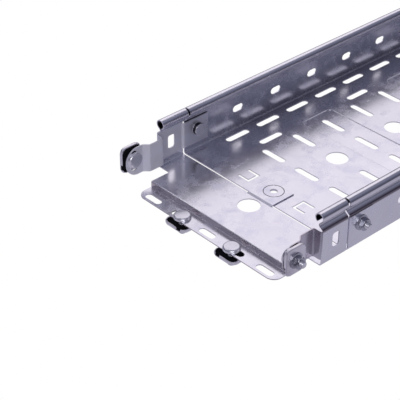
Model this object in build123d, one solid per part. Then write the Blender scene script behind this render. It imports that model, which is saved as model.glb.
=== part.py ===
from build123d import *
import math
import os

# Perforated sheet-steel cable tray with its pressed end adapter, bolts, nuts and clamp plates.
# The tray runs along +X from its joint with the adapter at X = 0, Y is across it, and Z is up from
# the underside of its floor. The last step moves the whole model so that the origin is the centre
# of its footprint, at the lowest end of the bolts under the lip.

# Sheet and section
sheet = 1.0
tray_length = 1000.0
tray_width = 204.0
tray_height = 50.5
bend_radius = 2.5
roll_radius = 4.75
roll_sweep_angle = 292.0
wall_flat_inset = 14.5
groove_depth = 5.0
groove_inset = 11.0
groove_radius = 1.5

# Floor perforation
column_pitch = 40.0
first_column_x = 57.0
slot_width = 7.0
slot_length = 28.0
edge_row_inset = 12.0
second_row_inset = 36.0
cross_row_inset = 60.0
knockout_diameter = 21.0
end_margin = 30.0

# Holes that a fixing uses keep true arcs. The repeats between them have a few straight sides.
round_columns = 2
slot_end_sides = 4
knockout_sides = 16
corner_sides = 2

# Shallow pressed panels between the second rows
panel_width = 40.0
panel_length = 131.0
panel_corner = 6.0
panel_depth = 0.5
panel_columns = 3

# Holes in the walls
wall_hole_pitch = 50.0
first_wall_hole = 67.5
wall_hole_height = 22.0
wall_slot_length = 13.0

# Tongue joint at the tray's end
joint_gap = 2.0
joint_hole_x = 15.0
joint_bolt_height = wall_hole_height
fit_gap = 0.1
tongue_reach = 28.0
tongue_bottom = 7.0
tongue_top_inset = 2.5
floor_tongue_width = 30.0
floor_tongue_reach = 25.0
joggle_start = 3.5
joggle_end = 0.8
tab_width = 15.0
tab_start = 10.0
tab_inner_y = 27.0
tab_length = 14.0
tab_cut = 2.8
tongue_ring_diameter = 19.5
tongue_ring_groove = 0.7
tongue_ring_depth = 0.3
tongue_ring_sides = 16

# End adapter
adapter_length = 30.0
adapter_hole_x = 15.4
adapter_slot_x = 16.0
adapter_slot_height = 20.3
adapter_slot_length = 13.5
adapter_slot_width = 8.0
adapter_slot_corner = 2.0
front_inset = 16.0
lip_bend_x = 52.5
lip_front_x = 70.5
lip_drop = 6.0
lip_bend_radius = 1.3
lip_corner = 9.0
lip_slot_x = 64.6
lip_slot_pitch = 35.0
lip_slot_length = 19.0
lip_slot_margin = 4.0

# Side ears
ear_bottom = 6.5
ear_top_inset = 1.5
ear_strip_inset = 9.5
ear_flat_inset = 5.0
ear_strip_end = 48.5
ear_joggle = 5.0
ear_end_x = 72.5
ear_end_straight = 2.0
ear_slot_x = 63.7
ear_slot_bottom_inset = 5.0
ear_slot_top_inset = 2.0

# Fasteners
bolt_diameter = 6.0
bolt_length = 16.0
bolt_hole = 7.0
head_diameter = 16.0
head_height = 3.2
head_rim = 0.8
joint_head_diameter = 12.0
joint_head_height = 4.0
joint_head_rim = 3.6
head_slope_angle = 45.0
fastener_sides = 16
nut_flats = 10.0
nut_height = 6.0
flange_diameter = 14.2
flange_height = 1.3
thread_gap = 0.05
ear_bolt_height = 23.0
lip_bolt_left_shift = -3.0
lip_bolt_right_shift = 5.0

# Clamp plates: shallow cups, as deep inside as the wire that they grip is thick
clamp_sheet = 1.2
wire_room = 4.5
clamp_length = 26.0
clamp_width = 22.0
clamp_corner = 5.0
wire_notch = 5.0
wire_offset = 6.2

half_width = tray_width / 2
wall_flat_top = tray_height - wall_flat_inset
groove_height = tray_height - groove_inset
tongue_top = wall_flat_top - tongue_top_inset
ear_top = wall_flat_top - ear_top_inset
ear_height = ear_top - ear_bottom
ear_end_radius = (ear_height - ear_end_straight) / 2
ear_slot_length = ear_height - ear_slot_bottom_inset - ear_slot_top_inset
ear_slot_height = ear_bottom + ear_slot_bottom_inset + ear_slot_length / 2
adapter_front = joint_gap + adapter_length
front_half_width = half_width - front_inset
ear_flat_y = half_width - ear_flat_inset
clamp_depth = wire_room + clamp_sheet
through = 12 * sheet


def section_face():
    """The right half of the tray's section, from the centre line to the end of the rolled edge."""
    roll_centre = (half_width - roll_radius, tray_height - roll_radius)
    groove = (half_width - groove_depth, groove_height)
    across = roll_centre[0] - groove[0]
    upward = roll_centre[1] - groove[1]
    distance = math.hypot(across, upward)
    lean = math.degrees(math.asin(roll_radius / distance)) + math.degrees(math.atan2(across, upward))
    tangent_angle = -lean
    tangent = (
        roll_centre[0] + roll_radius * math.cos(math.radians(tangent_angle)),
        roll_centre[1] + roll_radius * math.sin(math.radians(tangent_angle)),
    )
    corners = [(0, 0), (half_width, 0), (half_width, wall_flat_top), groove, tangent]
    with BuildSketch(Plane.YZ) as sketch:
        with BuildLine():
            FilletPolyline(*corners, radius=[bend_radius, bend_radius, groove_radius])
            CenterArc(roll_centre, roll_radius, tangent_angle, roll_sweep_angle)
            offset(amount=sheet, side=Side.LEFT, closed=True)
        make_face()
    return sketch.sketch


def section_solid(start, length):
    """Both halves of the section, from X = start, as long as length."""
    half = extrude(section_face(), amount=length).moved(Location((start, 0, 0)))
    return half + mirror(half, about=Plane.XZ)


def corner_points(x, y, radius, start, sweep, sides):
    """Points round one corner that is drawn with a few straight sides."""
    angles = [math.radians(start + sweep * step / sides) for step in range(sides + 1)]
    return [(x + radius * math.cos(angle), y + radius * math.sin(angle)) for angle in angles]


def slot_outline(length, width, is_round):
    """A slot along X, with round ends or with ends of a few straight sides."""
    if is_round:
        return SlotOverall(length, width)
    radius = width / 2
    reach = length / 2 - radius
    points = corner_points(reach, 0, radius, -90, 180, slot_end_sides)
    points += corner_points(-reach, 0, radius, 90, 180, slot_end_sides)
    return make_face(Polyline(*points, close=True))


def panel_outline(width, length, corner):
    """A pressed panel's outline, with corners of a few straight sides."""
    points = []
    for start, right, up in ((0, 1, 1), (90, -1, 1), (180, -1, -1), (270, 1, -1)):
        x = right * (width / 2 - corner)
        y = up * (length / 2 - corner)
        points += corner_points(x, y, corner, start, 90, corner_sides)
    return make_face(Polyline(*points, close=True))


def floor_slot(x, y, length, angle, is_round):
    """A cutter through the floor, its long axis turned by angle from X."""
    cutter = Pos(x, y, -through / 2) * Rot(0, 0, angle) * slot_outline(length, slot_width, is_round)
    return extrude(cutter, amount=through)


def round_hole(x, y, diameter):
    """A round cutter through the floor."""
    return Pos(x, y, 0) * Cylinder(diameter / 2, through)


def knockout_hole(x, is_round):
    """One of the larger holes on the floor's centre line."""
    if is_round:
        return round_hole(x, 0, knockout_diameter)
    outline = RegularPolygon(knockout_diameter / 2, knockout_sides)
    return extrude(Pos(x, 0, -through / 2) * outline, amount=through)


def wall_cutter(x, z, side, outline):
    """A cutter through one wall, with the outline's long axis along X."""
    plane = Plane(origin=(x, side * half_width, z), x_dir=(1, 0, 0), z_dir=(0, -side, 0))
    return extrude(plane * outline, amount=through, both=True)


def column_positions():
    """The X of every column of floor slots."""
    last = tray_length - end_margin
    count = int((last - first_column_x) // column_pitch) + 1
    return [first_column_x + index * column_pitch for index in range(count)]


def floor_cutters():
    """Every hole of the floor's repeating pattern."""
    cutters = []
    for index, x in enumerate(column_positions()):
        is_round = index < round_columns
        for side in (1, -1):
            edge_row = side * (half_width - edge_row_inset)
            cross_row = side * (half_width - cross_row_inset)
            cutters.append(floor_slot(x, edge_row, slot_length, 0, is_round))
            cutters.append(floor_slot(x, cross_row, slot_length, 90, False))
        if index % 2 == 0:
            cutters.append(floor_slot(x, 0, slot_length, 90, False))
        else:
            cutters.append(knockout_hole(x, is_round))
        between = x + column_pitch / 2
        if index % panel_columns == 0 and between < tray_length - end_margin:
            for side in (1, -1):
                second_row = side * (half_width - second_row_inset)
                cutters.append(floor_slot(between, second_row, slot_length, 0, False))
    return cutters


def wall_cutters():
    """The row of short slots in both walls, and the round holes for the joint's bolts."""
    cutters = []
    count = int((tray_length - first_wall_hole - end_margin) // wall_hole_pitch) + 1
    for side in (1, -1):
        joint = Plane(origin=(joint_hole_x, side * half_width, joint_bolt_height), z_dir=(0, side, 0))
        cutters.append(joint * Cylinder(bolt_hole / 2, through))
        for index in range(count):
            x = first_wall_hole + index * wall_hole_pitch
            is_round = index < round_columns
            outline = slot_outline(wall_slot_length, slot_width, is_round)
            cutters.append(wall_cutter(x, wall_hole_height, side, outline))
    return cutters


def tab_cutter(side):
    """The U-shaped cut round one floor tab, open towards the wall."""
    middle = tab_start + tab_width / 2
    outer = Pos(middle, side * (tab_inner_y + tab_length / 2)) * Rectangle(tab_width, tab_length)
    tab = Pos(middle, side * (tab_inner_y + tab_cut + tab_length / 2))
    inner = tab * Rectangle(tab_width - 2 * tab_cut, tab_length)
    return extrude(Pos(0, 0, -sheet) * (outer - inner), amount=3 * sheet)


def pressed_panels():
    """The pads that the pressed panels add below the floor, and the pockets that they leave above."""
    pads = []
    pockets = []
    for index, x in enumerate(column_positions()):
        if index % panel_columns != 2:
            continue
        pocket = panel_outline(panel_width, panel_length, panel_corner)
        pad = panel_outline(panel_width + 2 * sheet, panel_length + 2 * sheet, panel_corner + sheet)
        pads.append(extrude(Pos(x, 0, -panel_depth) * pad, amount=panel_depth))
        pockets.append(extrude(Pos(x, 0, sheet - panel_depth) * pocket, amount=2 * panel_depth))
    return pads, pockets


def make_tray():
    """One length of tray with its perforation, pressed panels and end tabs."""
    body = section_solid(0, tray_length)
    pads, pockets = pressed_panels()
    body = body + pads
    body = body - pockets
    cutters = floor_cutters() + wall_cutters()
    cutters += [tab_cutter(1), tab_cutter(-1), round_hole(joint_hole_x, 0, bolt_hole)]
    return body - cutters


def bent_strip(points, radii, plane, width):
    """A sheet strip bent along points, with the sheet on their left, as wide as width."""
    with BuildSketch(plane) as sketch:
        with BuildLine():
            FilletPolyline(*points, radius=radii)
            offset(amount=sheet, side=Side.LEFT, closed=True)
        make_face()
    return extrude(sketch.sketch, amount=width)


def lip_slot_positions():
    """The Y of every slot in the lip, from right to left. The bolts are in the second from each end."""
    room = 2 * (front_half_width - lip_slot_margin) - lip_slot_length
    count = int(room // lip_slot_pitch) + 1
    return [(index - (count - 1) / 2) * lip_slot_pitch for index in range(count)]


def lip_slots():
    """Cutters for the row of slots in the lip. The outer two take further bolts."""
    cutters = []
    positions = lip_slot_positions()
    for y in positions:
        is_outer = y in (positions[0], positions[-1])
        slot = Rot(0, 0, 90) * slot_outline(lip_slot_length, slot_width, is_outer)
        cutters.append(extrude(Pos(-lip_slot_x, y, -lip_drop - through / 2) * slot, amount=through))
    return cutters


def lip_part():
    """The adapter's front: a narrower floor, a riser and the slotted lip below it."""
    plane = Plane(origin=(0, -front_half_width, 0), x_dir=(1, 0, 0), z_dir=(0, 1, 0))
    points = [
        (-adapter_front + sheet, 0),
        (-lip_bend_x, 0),
        (-lip_bend_x, lip_drop),
        (-lip_front_x, lip_drop),
    ]
    radii = [lip_bend_radius - sheet, lip_bend_radius]
    strip = bent_strip(points, radii, plane, 2 * front_half_width)
    outline = Pos(0, 0, -through) * RectangleRounded(2 * lip_front_x, 2 * front_half_width, lip_corner)
    return (strip & extrude(outline, amount=2 * through)) - lip_slots()


def ear(side):
    """One side ear: it steps in from the wall's front edge and joggles out again."""
    step_y = half_width - ear_strip_inset + sheet / 2
    flat_y = ear_flat_y + sheet / 2
    points = [
        (-adapter_front + bend_radius + sheet, half_width),
        (-adapter_front - sheet, half_width),
        (-adapter_front - sheet, step_y),
        (-ear_strip_end, step_y),
        (-ear_strip_end - ear_joggle, flat_y),
        (-ear_end_x, flat_y),
    ]
    radii = [bend_radius, bend_radius - sheet, bend_radius - sheet, bend_radius]
    strip = bent_strip(points, radii, Plane.XY.offset(ear_bottom), ear_height)
    reach = ear_end_x - adapter_front / 2
    centre = (-ear_end_x + reach / 2, 0, (ear_bottom + ear_top) / 2)
    middle = Plane(origin=centre, x_dir=(1, 0, 0), z_dir=(0, 1, 0))
    outline = extrude(middle * RectangleRounded(reach, ear_height, ear_end_radius), amount=tray_width)
    slot_plane = Plane(origin=(-ear_slot_x, 0, ear_slot_height), x_dir=(1, 0, 0), z_dir=(0, 1, 0))
    slot = slot_plane * Rot(0, 0, 90) * slot_outline(ear_slot_length, slot_width, False)
    result = (strip & outline) - extrude(slot, amount=tray_width)
    return result if side > 0 else mirror(result, about=Plane.XZ)


def side_tongue(side):
    """The wall's tongue, joggled inwards by one sheet so that it lies inside the tray's wall."""
    inner = half_width - sheet - fit_gap
    points = [
        (tongue_reach, inner),
        (-joggle_end, inner),
        (-joggle_start, half_width),
        (-joggle_start - bend_radius, half_width),
    ]
    height = tongue_top - tongue_bottom
    strip = bent_strip(points, [sheet, 2 * sheet], Plane.XY.offset(tongue_bottom), height)
    hole = Plane(origin=(joint_hole_x, inner, joint_bolt_height), z_dir=(0, 1, 0))
    result = strip - hole * Cylinder(bolt_hole / 2, through)
    return result if side > 0 else mirror(result, about=Plane.XZ)


def floor_tongue():
    """The floor's tongue, joggled up by one sheet so that it lies on the tray's floor."""
    lift = sheet + fit_gap
    plane = Plane(origin=(0, -floor_tongue_width / 2, 0), x_dir=(1, 0, 0), z_dir=(0, 1, 0))
    points = [
        (floor_tongue_reach, -lift),
        (-joggle_end, -lift),
        (-joggle_start, 0),
        (-joggle_start - bend_radius, 0),
    ]
    strip = bent_strip(points, [sheet, 2 * sheet], plane, floor_tongue_width)
    top = lift + sheet
    ring_radius = tongue_ring_diameter / 2
    outer = RegularPolygon(ring_radius, tongue_ring_sides)
    inner = RegularPolygon(ring_radius - tongue_ring_groove, tongue_ring_sides)
    groove = extrude(Pos(joint_hole_x, 0, top - tongue_ring_depth) * (outer - inner), amount=sheet)
    return strip - groove - round_hole(joint_hole_x, 0, bolt_hole)


def make_adapter():
    """The end adapter: section, tongues, ears and lip, pressed from one sheet."""
    body = section_solid(-adapter_front, adapter_length) + lip_part() + floor_tongue()
    cutters = [knockout_hole(-adapter_hole_x, False)]
    upright_slot = panel_outline(adapter_slot_width, adapter_slot_length, adapter_slot_corner)
    for side in (1, -1):
        body = body + ear(side) + side_tongue(side)
        cutters.append(wall_cutter(-adapter_slot_x, adapter_slot_height, side, upright_slot))
    return body - cutters


def make_bolt(diameter, rim_height, height):
    """A round-headed bolt. Its head's seat is at Z = 0, and the shank runs down."""
    outline = RegularPolygon(diameter / 2, fastener_sides)
    rim = extrude(outline, amount=rim_height)
    crown = extrude(Pos(0, 0, rim_height) * outline, amount=height - rim_height, taper=head_slope_angle)
    shank = extrude(RegularPolygon(bolt_diameter / 2, fastener_sides), amount=-bolt_length)
    return rim + crown + shank


def make_nut(grip):
    """A hexagon nut with a flange, seated at the far end of grip."""
    hexagon = extrude(RegularPolygon(nut_flats / 2, 6, major_radius=False), amount=-nut_height)
    flange = extrude(RegularPolygon(flange_diameter / 2, fastener_sides), amount=-flange_height)
    bore = extrude(RegularPolygon(bolt_diameter / 2 + thread_gap, fastener_sides), amount=-nut_height)
    return Pos(0, 0, -grip) * (hexagon + flange - bore)


def make_clamp():
    """A pressed cup whose rim meets the sheet. A wire passes beside the bolt, through two notches."""
    outer = extrude(panel_outline(clamp_length, clamp_width, clamp_corner), amount=-clamp_depth)
    inner_length = clamp_length - 2 * clamp_sheet
    inner_width = clamp_width - 2 * clamp_sheet
    inside = panel_outline(inner_length, inner_width, clamp_corner - clamp_sheet)
    hollow = extrude(inside, amount=-wire_room)
    notch = Pos(wire_offset, 0, -wire_room / 2) * Box(wire_notch, 2 * clamp_width, wire_room)
    hole = extrude(RegularPolygon(bolt_hole / 2, fastener_sides), amount=-clamp_depth)
    return Pos(0, 0, -sheet) * (outer - hollow - notch - hole)


def fastener_places():
    """Name, seat, direction towards the head, direction towards the wire, and if it has a clamp."""
    places = []
    positions = lip_slot_positions()
    for name, side in (("left", 1), ("right", -1)):
        joint_seat = (joint_hole_x, side * (half_width - 2 * sheet - fit_gap), joint_bolt_height)
        ear_seat = (-ear_slot_x, side * (ear_flat_y - sheet / 2), ear_bolt_height)
        left_y = positions[-2] + lip_bolt_left_shift
        right_y = positions[1] + lip_bolt_right_shift
        lip_y = left_y if side > 0 else right_y
        lip_seat = (-lip_slot_x, lip_y, sheet - lip_drop)
        inwards = (0, -side, 0)
        places.append(("side", name, joint_seat, inwards, (1, 0, 0), False))
        places.append(("ear", name, ear_seat, inwards, (0, 0, -1), True))
        places.append(("lip", name, lip_seat, (0, 0, 1), inwards, True))
    return places


def make_fasteners():
    """Every bolt, nut and clamp plate, by node name."""
    pieces = {}
    for kind, name, seat, towards_head, towards_wire, clamped in fastener_places():
        frame = Plane(origin=seat, x_dir=towards_wire, z_dir=towards_head)
        if clamped:
            grip = sheet + clamp_depth
            bolt = make_bolt(head_diameter, head_rim, head_height)
        else:
            grip = 2 * sheet + fit_gap
            bolt = make_bolt(joint_head_diameter, joint_head_rim, joint_head_height)
        pieces[f"{kind}_bolt_{name}"] = frame * bolt
        pieces[f"{kind}_nut_{name}"] = frame * make_nut(grip)
        if clamped:
            pieces[f"{kind}_clamp_{name}"] = frame * make_clamp()
    return pieces


def footprint_origin():
    """The centre of the model's footprint, at its lowest point."""
    lowest = sheet - lip_drop - bolt_length
    front = max(ear_end_x, lip_front_x, max(ear_slot_x, lip_slot_x) + clamp_width / 2)
    return Location(((front - tray_length) / 2, 0, -lowest))


def main():
    pieces = {"tray": make_tray(), "end_adapter": make_adapter()}
    pieces.update(make_fasteners())
    os.makedirs("parts", exist_ok=True)
    move = footprint_origin()
    for name, piece in pieces.items():
        export_step(piece.moved(move), f"parts/{name}.step")


main()
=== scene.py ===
import bmesh
import bpy
import math
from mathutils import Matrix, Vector


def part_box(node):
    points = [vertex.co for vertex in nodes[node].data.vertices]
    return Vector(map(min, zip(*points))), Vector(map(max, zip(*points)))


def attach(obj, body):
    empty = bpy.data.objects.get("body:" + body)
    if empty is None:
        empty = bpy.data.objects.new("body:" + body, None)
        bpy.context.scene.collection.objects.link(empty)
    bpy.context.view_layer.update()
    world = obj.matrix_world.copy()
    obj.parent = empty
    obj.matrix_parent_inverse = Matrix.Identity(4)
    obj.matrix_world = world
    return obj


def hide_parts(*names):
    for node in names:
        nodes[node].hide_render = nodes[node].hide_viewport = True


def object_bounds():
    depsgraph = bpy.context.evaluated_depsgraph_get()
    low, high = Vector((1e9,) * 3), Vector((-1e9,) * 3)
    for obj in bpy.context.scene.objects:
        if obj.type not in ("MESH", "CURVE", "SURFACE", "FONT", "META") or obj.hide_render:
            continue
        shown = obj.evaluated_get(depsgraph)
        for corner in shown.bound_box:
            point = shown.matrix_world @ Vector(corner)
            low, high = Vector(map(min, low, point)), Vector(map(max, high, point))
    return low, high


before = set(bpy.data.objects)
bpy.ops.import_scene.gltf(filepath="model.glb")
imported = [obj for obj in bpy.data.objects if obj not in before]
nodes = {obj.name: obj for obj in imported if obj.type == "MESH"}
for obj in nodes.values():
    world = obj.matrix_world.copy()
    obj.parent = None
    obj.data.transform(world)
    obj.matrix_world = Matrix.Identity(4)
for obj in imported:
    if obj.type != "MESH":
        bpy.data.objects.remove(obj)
cad_box = [list(corner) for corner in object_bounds()]

# Sizes in metres. The joint is where the tray begins, at the middle of its floor's top face.
SHEET = 0.001
ROLL_RADIUS = 0.00475
PANEL_DEPTH = 0.0005
tray_low, tray_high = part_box("tray")
JOINT = Vector((tray_low.x, 0, tray_low.z + PANEL_DEPTH + SHEET))

# Camera, measured from the joint, with its angles in degrees
CAMERA_FROM_JOINT = Vector((-0.71143, -0.69914, 0.68398))
CAMERA_YAW = 47.60
CAMERA_PITCH = 34.54
SENSOR_WIDTH = 36.0
FOCAL_PIXELS = 1379.0
IMAGE_WIDTH = 400
CLIP_START = 0.05
CLIP_END = 50.0

# Zinc on the two sheets: colour, then the roughness of smooth and dull patches and what a flake
# adds to it, then how far the pattern is shifted
TRAY_ZINC = ((0.84, 0.83, 0.88), (0.18, 0.24, 0.14), 3.0)
ADAPTER_ZINC = ((0.83, 0.82, 0.87), (0.18, 0.26, 0.14), 7.0)
SHIFT_SHARES = (1.0, 0.7, 0.3)
PATCH_SCALE = 26.0
PATCH_RANGE = (0.3, 0.68)
PATCH_DARK = 0.9
FLAKE_SCALE = 70.0
FLAKE_RANGE = (0.46, 0.72)
FLAKE_TINT = (0.80, 0.80, 0.90)
FLAKE_METAL = 0.90
WAVE_SCALE = 40.0
WAVE_STRENGTH = 0.02
WAVE_HEIGHT = 0.001
ROUGH_RANGE = (0.3, 0.7)
FINE_BLEND = 0.0001

# Flat part of the walls, above the floor, and the duller zinc on the left wall and ear of the adapter
FLAT_FROM = 0.003
FLAT_TO = 0.036
FLAT_BLEND = 0.003
DULL_ROUGHER = 0.25
DULL_METAL = 0.3
DULL_START = JOINT.x + 0.03
DULL_REACH = 0.075
DULL_SHARES = [(0.36, 0.3), (0.42, 0.6), (0.80, 0.6), (0.90, 1.0)]

# Painted shade inside the rolled edges
ROLL_PAINTED_SHADE = (0.10, 0.10, 0.12)
ROLL_BLEND = 0.0002

# Painted dark reflection on the outside of the bend at the top of each wall, above the floor
BEND_PAINTED_SHADE = (0.22, 0.19, 0.22)
BEND_FROM = 0.032
BEND_TO = 0.0368
BEND_BLEND = 0.0014
OUTWARDS_FROM = 0.02
OUTWARDS_BLEND = 0.01

# Painted dark reflection along the foot of the tray's left wall
FOOT_PAINTED_SHADE = (0.46, 0.45, 0.49)
FOOT_Y = 0.062
FOOT_WIDTH = 0.032
FOOT_HEIGHT = 0.009
FOOT_FADE = 0.09

# Painted shade on the right ear of the adapter, with the step before it
NEAR_STEP_PAINTED_SHADE = (0.62, 0.585, 0.645)
NEAR_STEP_X = JOINT.x - 0.0325
NEAR_STEP_Y = -0.089
NEAR_STEP_BLEND = (0.0005, 0.001)

# Painted shadow in the gap over the side tongues, above the floor and along the tray
SEAM_PAINTED_SHADOW = (0.03, 0.03, 0.04)
SEAM_FROM = 0.0325
SEAM_TO = 0.0338
SEAM_START = -0.0005
SEAM_REACH = 0.0278
SEAM_BLEND = 0.0003

# Painted shade in the groove round the bolt hole of the middle tongue
RING_PAINTED_SHADE = (0.03, 0.02, 0.04)
RING_X = sum(corner.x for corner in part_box("side_bolt_left")) / 2
RING_INNER = 0.00895
RING_OUTER = 0.0097

# Painted shade on the step down to the lip, by the way that it faces
RISER_PAINTED_SHADE = (0.66, 0.60, 0.63)
RISER_FACING = -0.4
RISER_FACING_BLEND = 0.3

# Painted highlight on the rims of the pressed panels
RIM_PAINTED_HIGHLIGHT = (0.95, 0.93, 0.97)
RIM_HALF_WIDTH = 0.00035
FIRST_PANEL_X = JOINT.x + 0.137
PANEL_PITCH = 0.120
PANEL_CORNER = 0.006
PANEL_HALF_WIDTH = 0.020
PANEL_HALF_LENGTH = 0.0655

# Zinc on the fasteners: colour, roughness and metallic share
BOLT_ZINC = ((0.84, 0.83, 0.88), 0.18, 0.7)
NUT_ZINC = ((0.50, 0.50, 0.56), 0.22, 1.0)
CLAMP_ZINC = ((0.88, 0.85, 0.90), 0.28, 1.0)
# Painted shade: the upright sides of the side bolts' heads are near black.
HEAD_SIDE_SHADE = ((0.03, 0.03, 0.04), 0.25, 1.0)
# Painted shade: the insides of the clamp cups are near black and barely shine.
CLAMP_INSIDE_SHADE = ((0.012, 0.012, 0.015), 0.9, 0.0)
CLAMP_INSIDE_SHINE = 0.1
CLOUD_SCALE = 260.0
CLOUD_RANGE = (0.35, 0.65)
CLOUD_DARK = 0.9
CLOUD_ROUGHER = 1.4

# Ground and room: white to the camera, and these tones to the metal. The ground is darker near one
# spot beside the joint, and the room's tones go by height.
GROUND_SIZE = 12.0
GROUND_GAP = 0.0002
GROUND_SPOT = (-0.115, -0.175)
GROUND_SPOT_INNER = 0.05
GROUND_SPOT_OUTER = 0.10
GROUND_DARK = (0.20, 0.19, 0.25)
GROUND_LIGHT = (0.43, 0.42, 0.51)
WHITE = (1, 1, 1, 1)
ROOM_TONES = [
    (0.0, (0.060, 0.060, 0.085)),
    (0.3, (0.085, 0.087, 0.125)),
    (0.5, (0.125, 0.130, 0.195)),
    (0.65, (0.195, 0.200, 0.280)),
    (0.8, (0.240, 0.245, 0.320)),
]

# Softboxes: name, direction from the joint, width and height, power, colour
SOFTBOX_DISTANCE = 2.6
SOFTBOXES = [
    ("far softbox", (0.555, 0.608, 0.567), (2.6, 2.2), 15.0, (1.0, 0.945, 0.957)),
    ("near fill", (-0.6, -0.8, 0.5), (1.8, 1.4), 19.0, (0.97, 0.97, 1.0)),
    ("far strip", (-0.32, 0.56, 0.76), (0.7, 0.9), 2.6, (1.0, 0.98, 1.0)),
]

# Bolts and nuts, in millimetres. A head has a radius, a height, and the height of its upright rim.
MILLIMETRE = 0.001
TURNED_SIDES = 48
CLAMP_HEAD = (8.0, 3.2, 0.8)
JOINT_HEAD = (6.0, 4.0, 3.4)
CROWN_STEPS = 9
CROWN_SHOULDER = 0.8
SHANK_RADIUS = 3.0
CLAMP_BOLT_LENGTH = 16.0
JOINT_BOLT_LENGTH = 12.5
THREAD_START = 2.5
THREAD_PITCH = 1.0
THREAD_DEPTH = 0.55
NUT_FLATS = 10.0
NUT_CORNER = NUT_FLATS / 2 / math.cos(math.pi / 6)
NUT_HEIGHT = 6.0
NUT_CHAMFER = 0.7
CHAMFER_STEPS = 4
FLANGE_RADIUS = 7.1
FLANGE_EDGE = 0.8
FLANGE_HEIGHT = 1.4
EDGE_ROUND = 0.25

# Clamp plates, in metres and degrees. A face stands upright if its normal has less than the limit
# along the axis.
CLAMP_SHEET = 0.0012
RIM_DROP = 0.0026
CLAMP_ROUND = 0.0005
ROUND_SEGMENTS = 3
ROUND_FROM_ANGLE = 25
FLAT_ANGLE = 1
SHARP_ANGLE = 30
SAME_POINT = 1e-6
UPRIGHT_LIMIT = 0.5


def set_or_link(tree, socket, value):
    """Links an output to the socket, or sets a plain value on it."""
    if isinstance(value, bpy.types.NodeSocket):
        tree.links.new(value, socket)
    else:
        socket.default_value = value


def add_node(tree, kind, **inputs):
    """A node of that kind, with its named inputs set or linked."""
    node = tree.nodes.new(kind)
    for name, value in inputs.items():
        set_or_link(tree, node.inputs[name.replace("_", " ")], value)
    return node


def calculated(tree, operation, *values):
    """The result of a sum, a product or the like. Each value is an output or a number."""
    node = tree.nodes.new("ShaderNodeMath")
    node.operation = operation
    for socket, value in zip(node.inputs, values):
        set_or_link(tree, socket, value)
    return node.outputs["Value"]


def product(tree, first, *others):
    """All the outputs multiplied."""
    for other in others:
        first = calculated(tree, "MULTIPLY", first, other)
    return first


def vector_node(tree, operation, *values):
    """A node that calculates with vectors. Each value is an output or a vector."""
    node = tree.nodes.new("ShaderNodeVectorMath")
    node.operation = operation
    for socket, value in zip(node.inputs, values):
        set_or_link(tree, socket, value)
    return node


def axes_of(tree, vector):
    """The outputs X, Y and Z of a vector."""
    return add_node(tree, "ShaderNodeSeparateXYZ", Vector=vector).outputs


def steps_up(tree, value, start, width):
    """0 before start and 1 after it, over that width. A negative width steps down."""
    node = add_node(tree, "ShaderNodeMapRange", Value=value, From_Min=start, From_Max=start + width)
    return node.outputs["Result"]


def within(tree, value, low, high, blend):
    """1 between low and high, where both ends fade towards the middle over the blend."""
    return product(tree, steps_up(tree, value, low, blend), steps_up(tree, value, high, -blend))


def ramp(tree, source, stops):
    """A colour ramp's output on source, through stops of (position, colour)."""
    node = add_node(tree, "ShaderNodeValToRGB", Fac=source)
    elements = node.color_ramp.elements
    while len(elements) < len(stops):
        elements.new(0.5)
    for element, (position, colour) in zip(elements, stops):
        element.position = position
        element.color = (*colour, 1)
    return node.outputs["Color"]


def level_ramp(tree, source, low, high, start=0.0, end=1.0):
    """A grey ramp on source, from the level low to the level high."""
    return ramp(tree, source, [(start, (low,) * 3), (end, (high,) * 3)])


def noise(tree, place, scale, **inputs):
    """A cloudy pattern's output at that scale, with its other inputs by name."""
    return add_node(tree, "ShaderNodeTexNoise", Vector=place, Scale=scale, **inputs).outputs["Fac"]


def blended(tree, share, first, second):
    """The first colour output where share is 0, and the second colour where it is 1."""
    node = tree.nodes.new("ShaderNodeMix")
    node.data_type = "RGBA"
    tree.links.new(share, node.inputs["Factor"])
    tree.links.new(first, node.inputs["A"])
    node.inputs["B"].default_value = (*second, 1)
    return node.outputs["Result"]


def darker(colour, share):
    """The colour at that share of its lightness."""
    return [level * share for level in colour]


def new_material(name):
    """A node material, its tree and its shader."""
    material = bpy.data.materials.new(name)
    material.use_nodes = True
    tree = material.node_tree
    return material, tree, tree.nodes["Principled BSDF"]


def under_rolls(tree, where):
    """1 on the floor and the flat part of the walls, and 0 on the grooves and rolled edges above."""
    height = axes_of(tree, where["Object"])["Z"]
    return steps_up(tree, height, JOINT.z + FLAT_TO, -FLAT_BLEND)


def dull_side(tree, where):
    """How much duller the zinc is on the adapter's left wall and ear, from the tongue outwards."""
    axes = axes_of(tree, where["Object"])
    above = steps_up(tree, axes["Z"], JOINT.z + FLAT_FROM, FLAT_BLEND)
    side = steps_up(tree, axes["Y"], tray_high.y / 2, FLAT_BLEND)
    outwards = steps_up(tree, axes["X"], DULL_START, -DULL_REACH)
    share = ramp(tree, outwards, [(position, (level,) * 3) for position, level in DULL_SHARES])
    return product(tree, above, under_rolls(tree, where), side, share)


def roll_inside_shade(tree, where):
    """1 inside the rolled edges, where little light comes in and a painted shade goes."""
    axes = axes_of(tree, where["Object"])
    across = calculated(tree, "ABSOLUTE", axes["Y"])
    spot = add_node(tree, "ShaderNodeCombineXYZ", Y=across, Z=axes["Z"]).outputs["Vector"]
    centre = (0, tray_high.y - ROLL_RADIUS, tray_high.z - ROLL_RADIUS)
    away = vector_node(tree, "DISTANCE", spot, centre).outputs["Value"]
    return steps_up(tree, away, ROLL_RADIUS - SHEET + ROLL_BLEND, -ROLL_BLEND)


def top_bend_shade(tree, where):
    """1 on the outside of the bend at the top of each wall, which faces the dark groove above it and takes
    a painted dark reflection.
    """
    axes = axes_of(tree, where["Object"])
    facing = axes_of(tree, where["Normal"])
    outwards = product(tree, axes["Y"], facing["Y"])
    outside = steps_up(tree, outwards, OUTWARDS_FROM, OUTWARDS_BLEND)
    height = within(tree, axes["Z"], JOINT.z + BEND_FROM, JOINT.z + BEND_TO, BEND_BLEND)
    return product(tree, height, outside)


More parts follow.
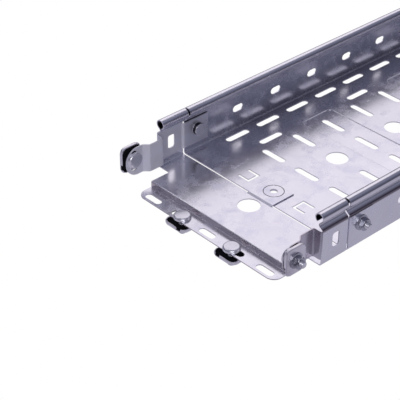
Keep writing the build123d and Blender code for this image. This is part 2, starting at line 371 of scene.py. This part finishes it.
def wall_foot_shade(tree, where):
    """1 along the foot of the tray's left wall, where wall and floor mirror only each other, for a painted
    dark reflection.
    """
    axes = axes_of(tree, where["Object"])
    near_wall = steps_up(tree, axes["Y"], FOOT_Y, FOOT_WIDTH)
    low = steps_up(tree, axes["Z"], JOINT.z + FOOT_HEIGHT, -FOOT_HEIGHT)
    along = steps_up(tree, axes["X"], JOINT.x, FOOT_FADE)
    return product(tree, near_wall, low, along)


def near_step_shade(tree, where):
    """1 on the right ear and where it steps in from the wall, which faces only dark surroundings, for a
    painted shade.
    """
    axes = axes_of(tree, where["Object"])
    front_blend, outer_blend = NEAR_STEP_BLEND
    front = steps_up(tree, axes["X"], NEAR_STEP_X, -front_blend)
    outer = steps_up(tree, axes["Y"], NEAR_STEP_Y, -outer_blend)
    return product(tree, outer, front)


def tongue_seam_shadow(tree, where):
    """1 along the gap over the side tongues, for a painted shadow."""
    axes = axes_of(tree, where["Object"])
    above = steps_up(tree, axes["Z"], JOINT.z + SEAM_FROM, FINE_BLEND)
    below = steps_up(tree, axes["Z"], JOINT.z + SEAM_TO, -SEAM_BLEND)
    along = within(tree, axes["X"], JOINT.x + SEAM_START, JOINT.x + SEAM_REACH, SEAM_BLEND)
    return product(tree, above, below, along)


def ring_groove_shade(tree, where):
    """1 in the narrow groove round the bolt hole of the middle tongue, for a painted shade."""
    centre = (RING_X, 0, JOINT.z + SHEET)
    away = vector_node(tree, "DISTANCE", where["Object"], centre).outputs["Value"]
    return within(tree, away, RING_INNER, RING_OUTER, FINE_BLEND)


def front_riser_shade(tree, where):
    """1 on the step down to the lip, which faces only the ground in front of it, for a painted shade."""
    height = axes_of(tree, where["Object"])["Z"]
    facing = axes_of(tree, where["Normal"])["X"]
    forwards = steps_up(tree, facing, RISER_FACING, -RISER_FACING_BLEND)
    low = steps_up(tree, height, JOINT.z, -SHEET)
    return product(tree, forwards, low)


def panel_rim_highlight(tree, where):
    """1 on the thin rim round each pressed panel, whose tight bend mirrors light from all over. A painted
    highlight stands in for it.

    The panels are rectangles with rounded corners. A spot is on the rim if it lies a corner's radius
    from the rectangle that the corners' centres span.
    """
    axes = axes_of(tree, where["Object"])
    shifted = calculated(tree, "SUBTRACT", axes["X"], FIRST_PANEL_X)
    along = calculated(tree, "PINGPONG", shifted, PANEL_PITCH / 2)
    across = calculated(tree, "ABSOLUTE", axes["Y"])
    spot = add_node(tree, "ShaderNodeCombineXYZ", X=along, Y=across).outputs["Vector"]
    centre = (PANEL_HALF_WIDTH - PANEL_CORNER, PANEL_HALF_LENGTH - PANEL_CORNER, 0)
    from_centre = vector_node(tree, "SUBTRACT", spot, centre).outputs["Vector"]
    beyond = vector_node(tree, "MAXIMUM", from_centre, (0, 0, 0)).outputs["Vector"]
    away = vector_node(tree, "LENGTH", beyond).outputs["Value"]
    low = PANEL_CORNER - RIM_HALF_WIDTH
    high = PANEL_CORNER + RIM_HALF_WIDTH
    after_joint = steps_up(tree, axes["X"], FIRST_PANEL_X - PANEL_PITCH / 2, FINE_BLEND)
    return product(tree, within(tree, away, low, high, FINE_BLEND), after_joint)


def painted_light_by_place(tree, where, shade):
    """The shade again, with painted shade and painted highlights at single places, for the light they take
    from what is round them.
    """
    for share_at, tone in (
        (wall_foot_shade, FOOT_PAINTED_SHADE),
        (roll_inside_shade, ROLL_PAINTED_SHADE),
        (top_bend_shade, BEND_PAINTED_SHADE),
        (near_step_shade, NEAR_STEP_PAINTED_SHADE),
        (tongue_seam_shadow, SEAM_PAINTED_SHADOW),
        (ring_groove_shade, RING_PAINTED_SHADE),
        (front_riser_shade, RISER_PAINTED_SHADE),
        (panel_rim_highlight, RIM_PAINTED_HIGHLIGHT),
    ):
        shade = blended(tree, share_at(tree, where), shade, tone)
    return shade


def galvanised(name, zinc, is_weathered):
    """Zinc on sheet steel: glossy, with feathery duller flakes and soft uneven patches."""
    colour, (smooth, dull, flake_rougher), shift = zinc
    material, tree, shader = new_material(name)
    where = tree.nodes.new("ShaderNodeTexCoord").outputs
    location = [share * shift for share in SHIFT_SHARES]
    shifted = add_node(tree, "ShaderNodeMapping", Vector=where["Object"], Location=location)
    place = shifted.outputs["Vector"]
    patches = noise(tree, place, PATCH_SCALE, Detail=5.0, Roughness=0.55)
    flakes = noise(tree, place, FLAKE_SCALE, Detail=4.0, Roughness=0.6, Distortion=0.2)
    waves = noise(tree, place, WAVE_SCALE, Detail=2.0)
    feathers = product(tree, level_ramp(tree, flakes, 0.0, 1.0, *FLAKE_RANGE), under_rolls(tree, where))

    patch_start, patch_end = PATCH_RANGE
    shade = ramp(tree, patches, [(patch_start, darker(colour, PATCH_DARK)), (patch_end, colour)])
    shade = blended(tree, feathers, shade, FLAKE_TINT)
    # Painted shade and painted highlights at single places go into the base colour.
    set_or_link(tree, shader.inputs["Base Color"], painted_light_by_place(tree, where, shade))

    rough = level_ramp(tree, patches, smooth, dull, *ROUGH_RANGE)
    rough = calculated(tree, "ADD", rough, level_ramp(tree, feathers, 0.0, flake_rougher))
    metal = level_ramp(tree, feathers, 1.0, FLAKE_METAL)
    # Painted highlight: the rims of the pressed panels lose their metal and take a light colour.
    metal = product(tree, metal, level_ramp(tree, panel_rim_highlight(tree, where), 1.0, 0.0))
    if is_weathered:
        dulled = dull_side(tree, where)
        rough = calculated(tree, "ADD", rough, level_ramp(tree, dulled, 0.0, DULL_ROUGHER))
        metal = product(tree, metal, level_ramp(tree, dulled, 1.0, DULL_METAL))
    set_or_link(tree, shader.inputs["Roughness"], rough)
    set_or_link(tree, shader.inputs["Metallic"], metal)

    relief = add_node(tree, "ShaderNodeBump", Strength=WAVE_STRENGTH, Distance=WAVE_HEIGHT, Height=waves)
    set_or_link(tree, shader.inputs["Normal"], relief.outputs["Normal"])
    return material


def plated(name, zinc):
    """Zinc plating on a fastener, with faint cloudiness."""
    colour, roughness, metal = zinc
    material, tree, shader = new_material(name)
    place = tree.nodes.new("ShaderNodeTexCoord").outputs["Object"]
    cloud = noise(tree, place, CLOUD_SCALE, Detail=3.0)
    start, end = CLOUD_RANGE
    tone = ramp(tree, cloud, [(start, darker(colour, CLOUD_DARK)), (end, colour)])
    set_or_link(tree, shader.inputs["Base Color"], tone)
    rough = level_ramp(tree, cloud, roughness, roughness * CLOUD_ROUGHER, *ROUGH_RANGE)
    set_or_link(tree, shader.inputs["Roughness"], rough)
    shader.inputs["Metallic"].default_value = metal
    return material


def dress_sheets():
    """Materials of the tray and the adapter."""
    for name, zinc, is_weathered in (("tray", TRAY_ZINC, False), ("end_adapter", ADAPTER_ZINC, True)):
        materials = nodes[name].data.materials
        materials.clear()
        materials.append(galvanised(f"{name} zinc", zinc, is_weathered))


def turned(name, rows, material, is_closed):
    """A mesh round the Z axis, in millimetres. Each row gives its radius at an angle, and its height."""
    points = []
    for radius_at, height in rows:
        for step in range(TURNED_SIDES):
            angle = 2 * math.pi * step / TURNED_SIDES
            radius = radius_at(angle)
            points.append((radius * math.cos(angle), radius * math.sin(angle), height))
    count = len(rows)
    faces = []
    for level in range(count if is_closed else count - 1):
        low = level * TURNED_SIDES
        high = (level + 1) % count * TURNED_SIDES
        for step in range(TURNED_SIDES):
            after = (step + 1) % TURNED_SIDES
            faces.append((low + step, low + after, high + after, high + step))
    if not is_closed:
        faces.append(tuple(reversed(range(TURNED_SIDES))))
        faces.append(tuple(range((count - 1) * TURNED_SIDES, count * TURNED_SIDES)))
    mesh = bpy.data.meshes.new(name)
    mesh.from_pydata([[value * MILLIMETRE for value in point] for point in points], [], faces)
    mesh.materials.append(material)
    mesh.shade_smooth()
    mesh.set_sharp_from_angle(angle=math.radians(SHARP_ANGLE))
    piece = bpy.data.objects.new(name, mesh)
    bpy.context.scene.collection.objects.link(piece)
    return piece


def circle(radius):
    """The same radius at every angle."""
    return lambda angle: radius


def hexagon(limit):
    """A hexagon's radius at an angle, never more than limit."""
    def radius_at(angle):
        turn = (angle + math.pi / 6) % (math.pi / 3) - math.pi / 6
        return min(limit, NUT_FLATS / 2 / math.cos(math.pi / 6 - abs(turn)))
    return radius_at


def bolt_rows(head, length):
    """A threaded shank of that length and a round head, from the shank's end up to the crown."""
    head_radius, head_height, rim_height = head
    root = circle(SHANK_RADIUS - THREAD_DEPTH)
    shank = circle(SHANK_RADIUS)
    rows = [(root, -length)]
    for turn in range(int((length - THREAD_START) / THREAD_PITCH)):
        height = -length + (turn + 0.5) * THREAD_PITCH
        rows.append((shank, height))
        rows.append((root, height + THREAD_PITCH / 2))
    rows.append((shank, -THREAD_START + THREAD_PITCH / 2))
    rows.append((shank, 0))
    rows.append((circle(head_radius - EDGE_ROUND), 0))
    rows.append((circle(head_radius), EDGE_ROUND))
    crown = head_height - rim_height
    for step in range(CROWN_STEPS + 1):
        angle = math.pi / 2 * step / CROWN_STEPS
        radius = head_radius - CROWN_SHOULDER * crown * (1 - math.cos(angle))
        rows.append((circle(radius), rim_height + crown * math.sin(angle)))
    return rows


def nut_rows():
    """A closed ring of rows round a flange nut, whose seat is at height 0 and whose end is below."""
    bore = SHANK_RADIUS - THREAD_DEPTH / 2
    rows = [
        (circle(bore), 0),
        (circle(FLANGE_RADIUS - EDGE_ROUND), 0),
        (circle(FLANGE_RADIUS), -EDGE_ROUND),
        (circle(FLANGE_RADIUS), -FLANGE_EDGE),
        (hexagon(NUT_CORNER), -FLANGE_HEIGHT),
        (hexagon(NUT_CORNER), NUT_CHAMFER - NUT_HEIGHT),
    ]
    for step in range(1, CHAMFER_STEPS + 1):
        share = step / CHAMFER_STEPS
        limit = NUT_CORNER + share * (NUT_FLATS / 2 - NUT_CORNER)
        rows.append((hexagon(limit), -NUT_HEIGHT + NUT_CHAMFER * (1 - share)))
    rows.append((circle(SHANK_RADIUS + EDGE_ROUND), -NUT_HEIGHT))
    rows.append((circle(bore), -NUT_HEIGHT + THREAD_DEPTH))
    return rows


def seat(piece, node_name, towards_head, head_height):
    """Places a turned piece where its plain solid is, with its Z axis towards the bolt's head."""
    low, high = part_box(node_name)
    direction = Vector(towards_head)
    reach = abs((high - low).dot(direction)) / 2
    piece.location = (low + high) / 2 + direction * (reach - head_height * MILLIMETRE)
    piece.rotation_mode = "QUATERNION"
    piece.rotation_quaternion = direction.to_track_quat("Z", "Y")
    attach(piece, "root")
    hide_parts(node_name)


def is_inside_cup(face, middle, direction, rim):
    """Whether a face of a clamp plate is one of its inner walls or its inner floor."""
    outwards = face.calc_center_median() - middle
    outwards -= direction * outwards.dot(direction)
    along = face.normal.dot(direction)
    is_wall = abs(along) < UPRIGHT_LIMIT and face.normal.dot(outwards) < 0
    is_below_rim = face.verts[0].co.dot(direction) < rim - CLAMP_SHEET
    is_floor = along > UPRIGHT_LIMIT and is_below_rim
    return is_wall or is_floor


def rounded_clamp(node_name, towards_head, materials):
    """A clamp plate again, with rounded edges, a lower rim and a painted dark shade inside."""
    mesh = nodes[node_name].data.copy()
    work = bmesh.new()
    work.from_mesh(mesh)
    bmesh.ops.remove_doubles(work, verts=work.verts, dist=SAME_POINT)
    bmesh.ops.dissolve_limit(work, angle_limit=math.radians(FLAT_ANGLE), verts=work.verts, edges=work.edges)
    direction = Vector(towards_head)
    rim = max(vert.co.dot(direction) for vert in work.verts)
    low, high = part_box(node_name)
    for face in work.faces:
        face.material_index = int(is_inside_cup(face, (low + high) / 2, direction, rim))
    for vert in work.verts:
        if vert.co.dot(direction) > rim - CLAMP_SHEET:
            vert.co -= direction * RIM_DROP
    mesh.materials.clear()
    for material in materials:
        mesh.materials.append(material)
    work.to_mesh(mesh)
    work.free()
    mesh.shade_smooth()
    piece = bpy.data.objects.new(f"{node_name}_pressing", mesh)
    piece.matrix_world = nodes[node_name].matrix_world
    bpy.context.scene.collection.objects.link(piece)
    bevel = piece.modifiers.new("rounded edges", "BEVEL")
    bevel.width = CLAMP_ROUND
    bevel.segments = ROUND_SEGMENTS
    bevel.limit_method = "ANGLE"
    bevel.angle_limit = math.radians(ROUND_FROM_ANGLE)
    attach(piece, "root")
    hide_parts(node_name)


def shade_bolt_head_side(bolt, material):
    """The upright side of the bolt's head takes that material, a painted dark shade."""
    bolt.data.materials.append(material)
    for face in bolt.data.polygons:
        if face.center.z > 0 and abs(face.normal.z) < UPRIGHT_LIMIT:
            face.material_index = 1


def dress_fasteners():
    """Detailed bolts, nuts and clamp plates in place of the plain ones."""
    bolt_zinc = plated("bolt zinc", BOLT_ZINC)
    nut_zinc = plated("nut zinc", NUT_ZINC)
    clamp_zinc = plated("clamp zinc", CLAMP_ZINC)
    # Painted shade: the sides of the side bolts' heads and the insides of the clamp cups are near black.
    painted_side_shade = plated("bolt side painted shade", HEAD_SIDE_SHADE)
    clamp_inside_shade = plated("clamp inside painted shade", CLAMP_INSIDE_SHADE)
    inside_shader = clamp_inside_shade.node_tree.nodes["Principled BSDF"]
    inside_shader.inputs["Specular IOR Level"].default_value = CLAMP_INSIDE_SHINE
    for side, inwards in (("left", (0, -1, 0)), ("right", (0, 1, 0))):
        for kind, towards_head in (("side", inwards), ("ear", inwards), ("lip", (0, 0, 1))):
            is_joint = kind == "side"
            head = JOINT_HEAD if is_joint else CLAMP_HEAD
            length = JOINT_BOLT_LENGTH if is_joint else CLAMP_BOLT_LENGTH
            bolt = turned(f"{kind}_bolt_{side}_turned", bolt_rows(head, length), bolt_zinc, False)
            seat(bolt, f"{kind}_bolt_{side}", towards_head, head[1])
            nut = turned(f"{kind}_nut_{side}_turned", nut_rows(), nut_zinc, True)
            seat(nut, f"{kind}_nut_{side}", towards_head, 0)
            if is_joint:
                shade_bolt_head_side(bolt, painted_side_shade)
            else:
                rounded_clamp(f"{kind}_clamp_{side}", towards_head, (clamp_zinc, clamp_inside_shade))


def apart_for_camera(tree, seen, mirrored):
    """What the camera itself sees, and what all else mirrors instead."""
    path = tree.nodes.new("ShaderNodeLightPath")
    mix = tree.nodes.new("ShaderNodeMixShader")
    tree.links.new(path.outputs["Is Camera Ray"], mix.inputs["Fac"])
    tree.links.new(mirrored, mix.inputs[1])
    tree.links.new(seen, mix.inputs[2])
    return mix.outputs["Shader"]


def studio_floor():
    """A plain floor, evenly white to the camera and greyer where the metal mirrors it."""
    bpy.ops.mesh.primitive_plane_add(size=GROUND_SIZE, location=(0, 0, cad_box[0][2] - GROUND_GAP))
    plane = bpy.context.object
    plane.name = "studio_floor"
    material = bpy.data.materials.new("studio floor")
    material.use_nodes = True
    tree = material.node_tree
    tree.nodes.clear()
    place = tree.nodes.new("ShaderNodeTexCoord").outputs["Object"]
    spot = (JOINT.x + GROUND_SPOT[0], GROUND_SPOT[1], 0)
    away = vector_node(tree, "DISTANCE", place, spot).outputs["Value"]
    spread = steps_up(tree, away, GROUND_SPOT_INNER, GROUND_SPOT_OUTER - GROUND_SPOT_INNER)
    tone = ramp(tree, spread, [(0.0, GROUND_DARK), (1.0, GROUND_LIGHT)])
    mirrored = add_node(tree, "ShaderNodeEmission", Color=tone).outputs["Emission"]
    seen = add_node(tree, "ShaderNodeEmission", Color=WHITE).outputs["Emission"]
    add_node(tree, "ShaderNodeOutputMaterial", Surface=apart_for_camera(tree, seen, mirrored))
    plane.data.materials.append(material)


def surroundings():
    """White behind the object for the camera, and a dim room, lighter above, for everything else."""
    world = bpy.data.worlds.new("room")
    bpy.context.scene.world = world
    world.use_nodes = True
    tree = world.node_tree
    tree.nodes.clear()
    direction = tree.nodes.new("ShaderNodeTexCoord").outputs["Generated"]
    tone = ramp(tree, axes_of(tree, direction)["Z"], ROOM_TONES)
    room = add_node(tree, "ShaderNodeBackground", Color=tone).outputs["Background"]
    seen = add_node(tree, "ShaderNodeBackground", Color=WHITE).outputs["Background"]
    add_node(tree, "ShaderNodeOutputWorld", Surface=apart_for_camera(tree, seen, room))


def turn_to(item, direction, axis):
    """Turns that axis of a lamp or camera to the direction."""
    item.rotation_mode = "QUATERNION"
    item.rotation_quaternion = direction.to_track_quat(axis, "Y")


def lights():
    """One large softbox that the tray's floor mirrors, and weaker ones for the sides."""
    for name, direction, (width, height), power, colour in SOFTBOXES:
        light = bpy.data.lights.new(name, "AREA")
        light.shape = "RECTANGLE"
        light.size = width
        light.size_y = height
        light.energy = power
        light.color = colour
        lamp = bpy.data.objects.new(name, light)
        bpy.context.scene.collection.objects.link(lamp)
        outwards = Vector(direction).normalized()
        lamp.location = JOINT + outwards * SOFTBOX_DISTANCE
        turn_to(lamp, outwards, "Z")


def camera():
    """The photograph's camera."""
    data = bpy.data.cameras.new("camera")
    data.sensor_width = SENSOR_WIDTH
    data.lens = FOCAL_PIXELS / IMAGE_WIDTH * SENSOR_WIDTH
    data.clip_start = CLIP_START
    data.clip_end = CLIP_END
    eye = bpy.data.objects.new("camera", data)
    bpy.context.scene.collection.objects.link(eye)
    yaw = math.radians(CAMERA_YAW)
    pitch = math.radians(CAMERA_PITCH)
    level = math.cos(pitch)
    eye.location = JOINT + CAMERA_FROM_JOINT
    turn_to(eye, Vector((math.cos(yaw) * level, math.sin(yaw) * level, -math.sin(pitch))), "-Z")
    bpy.context.scene.camera = eye


dress_sheets()
dress_fasteners()
studio_floor()
surroundings()
lights()
camera()
bpy.context.scene.view_settings.view_transform = "Standard"
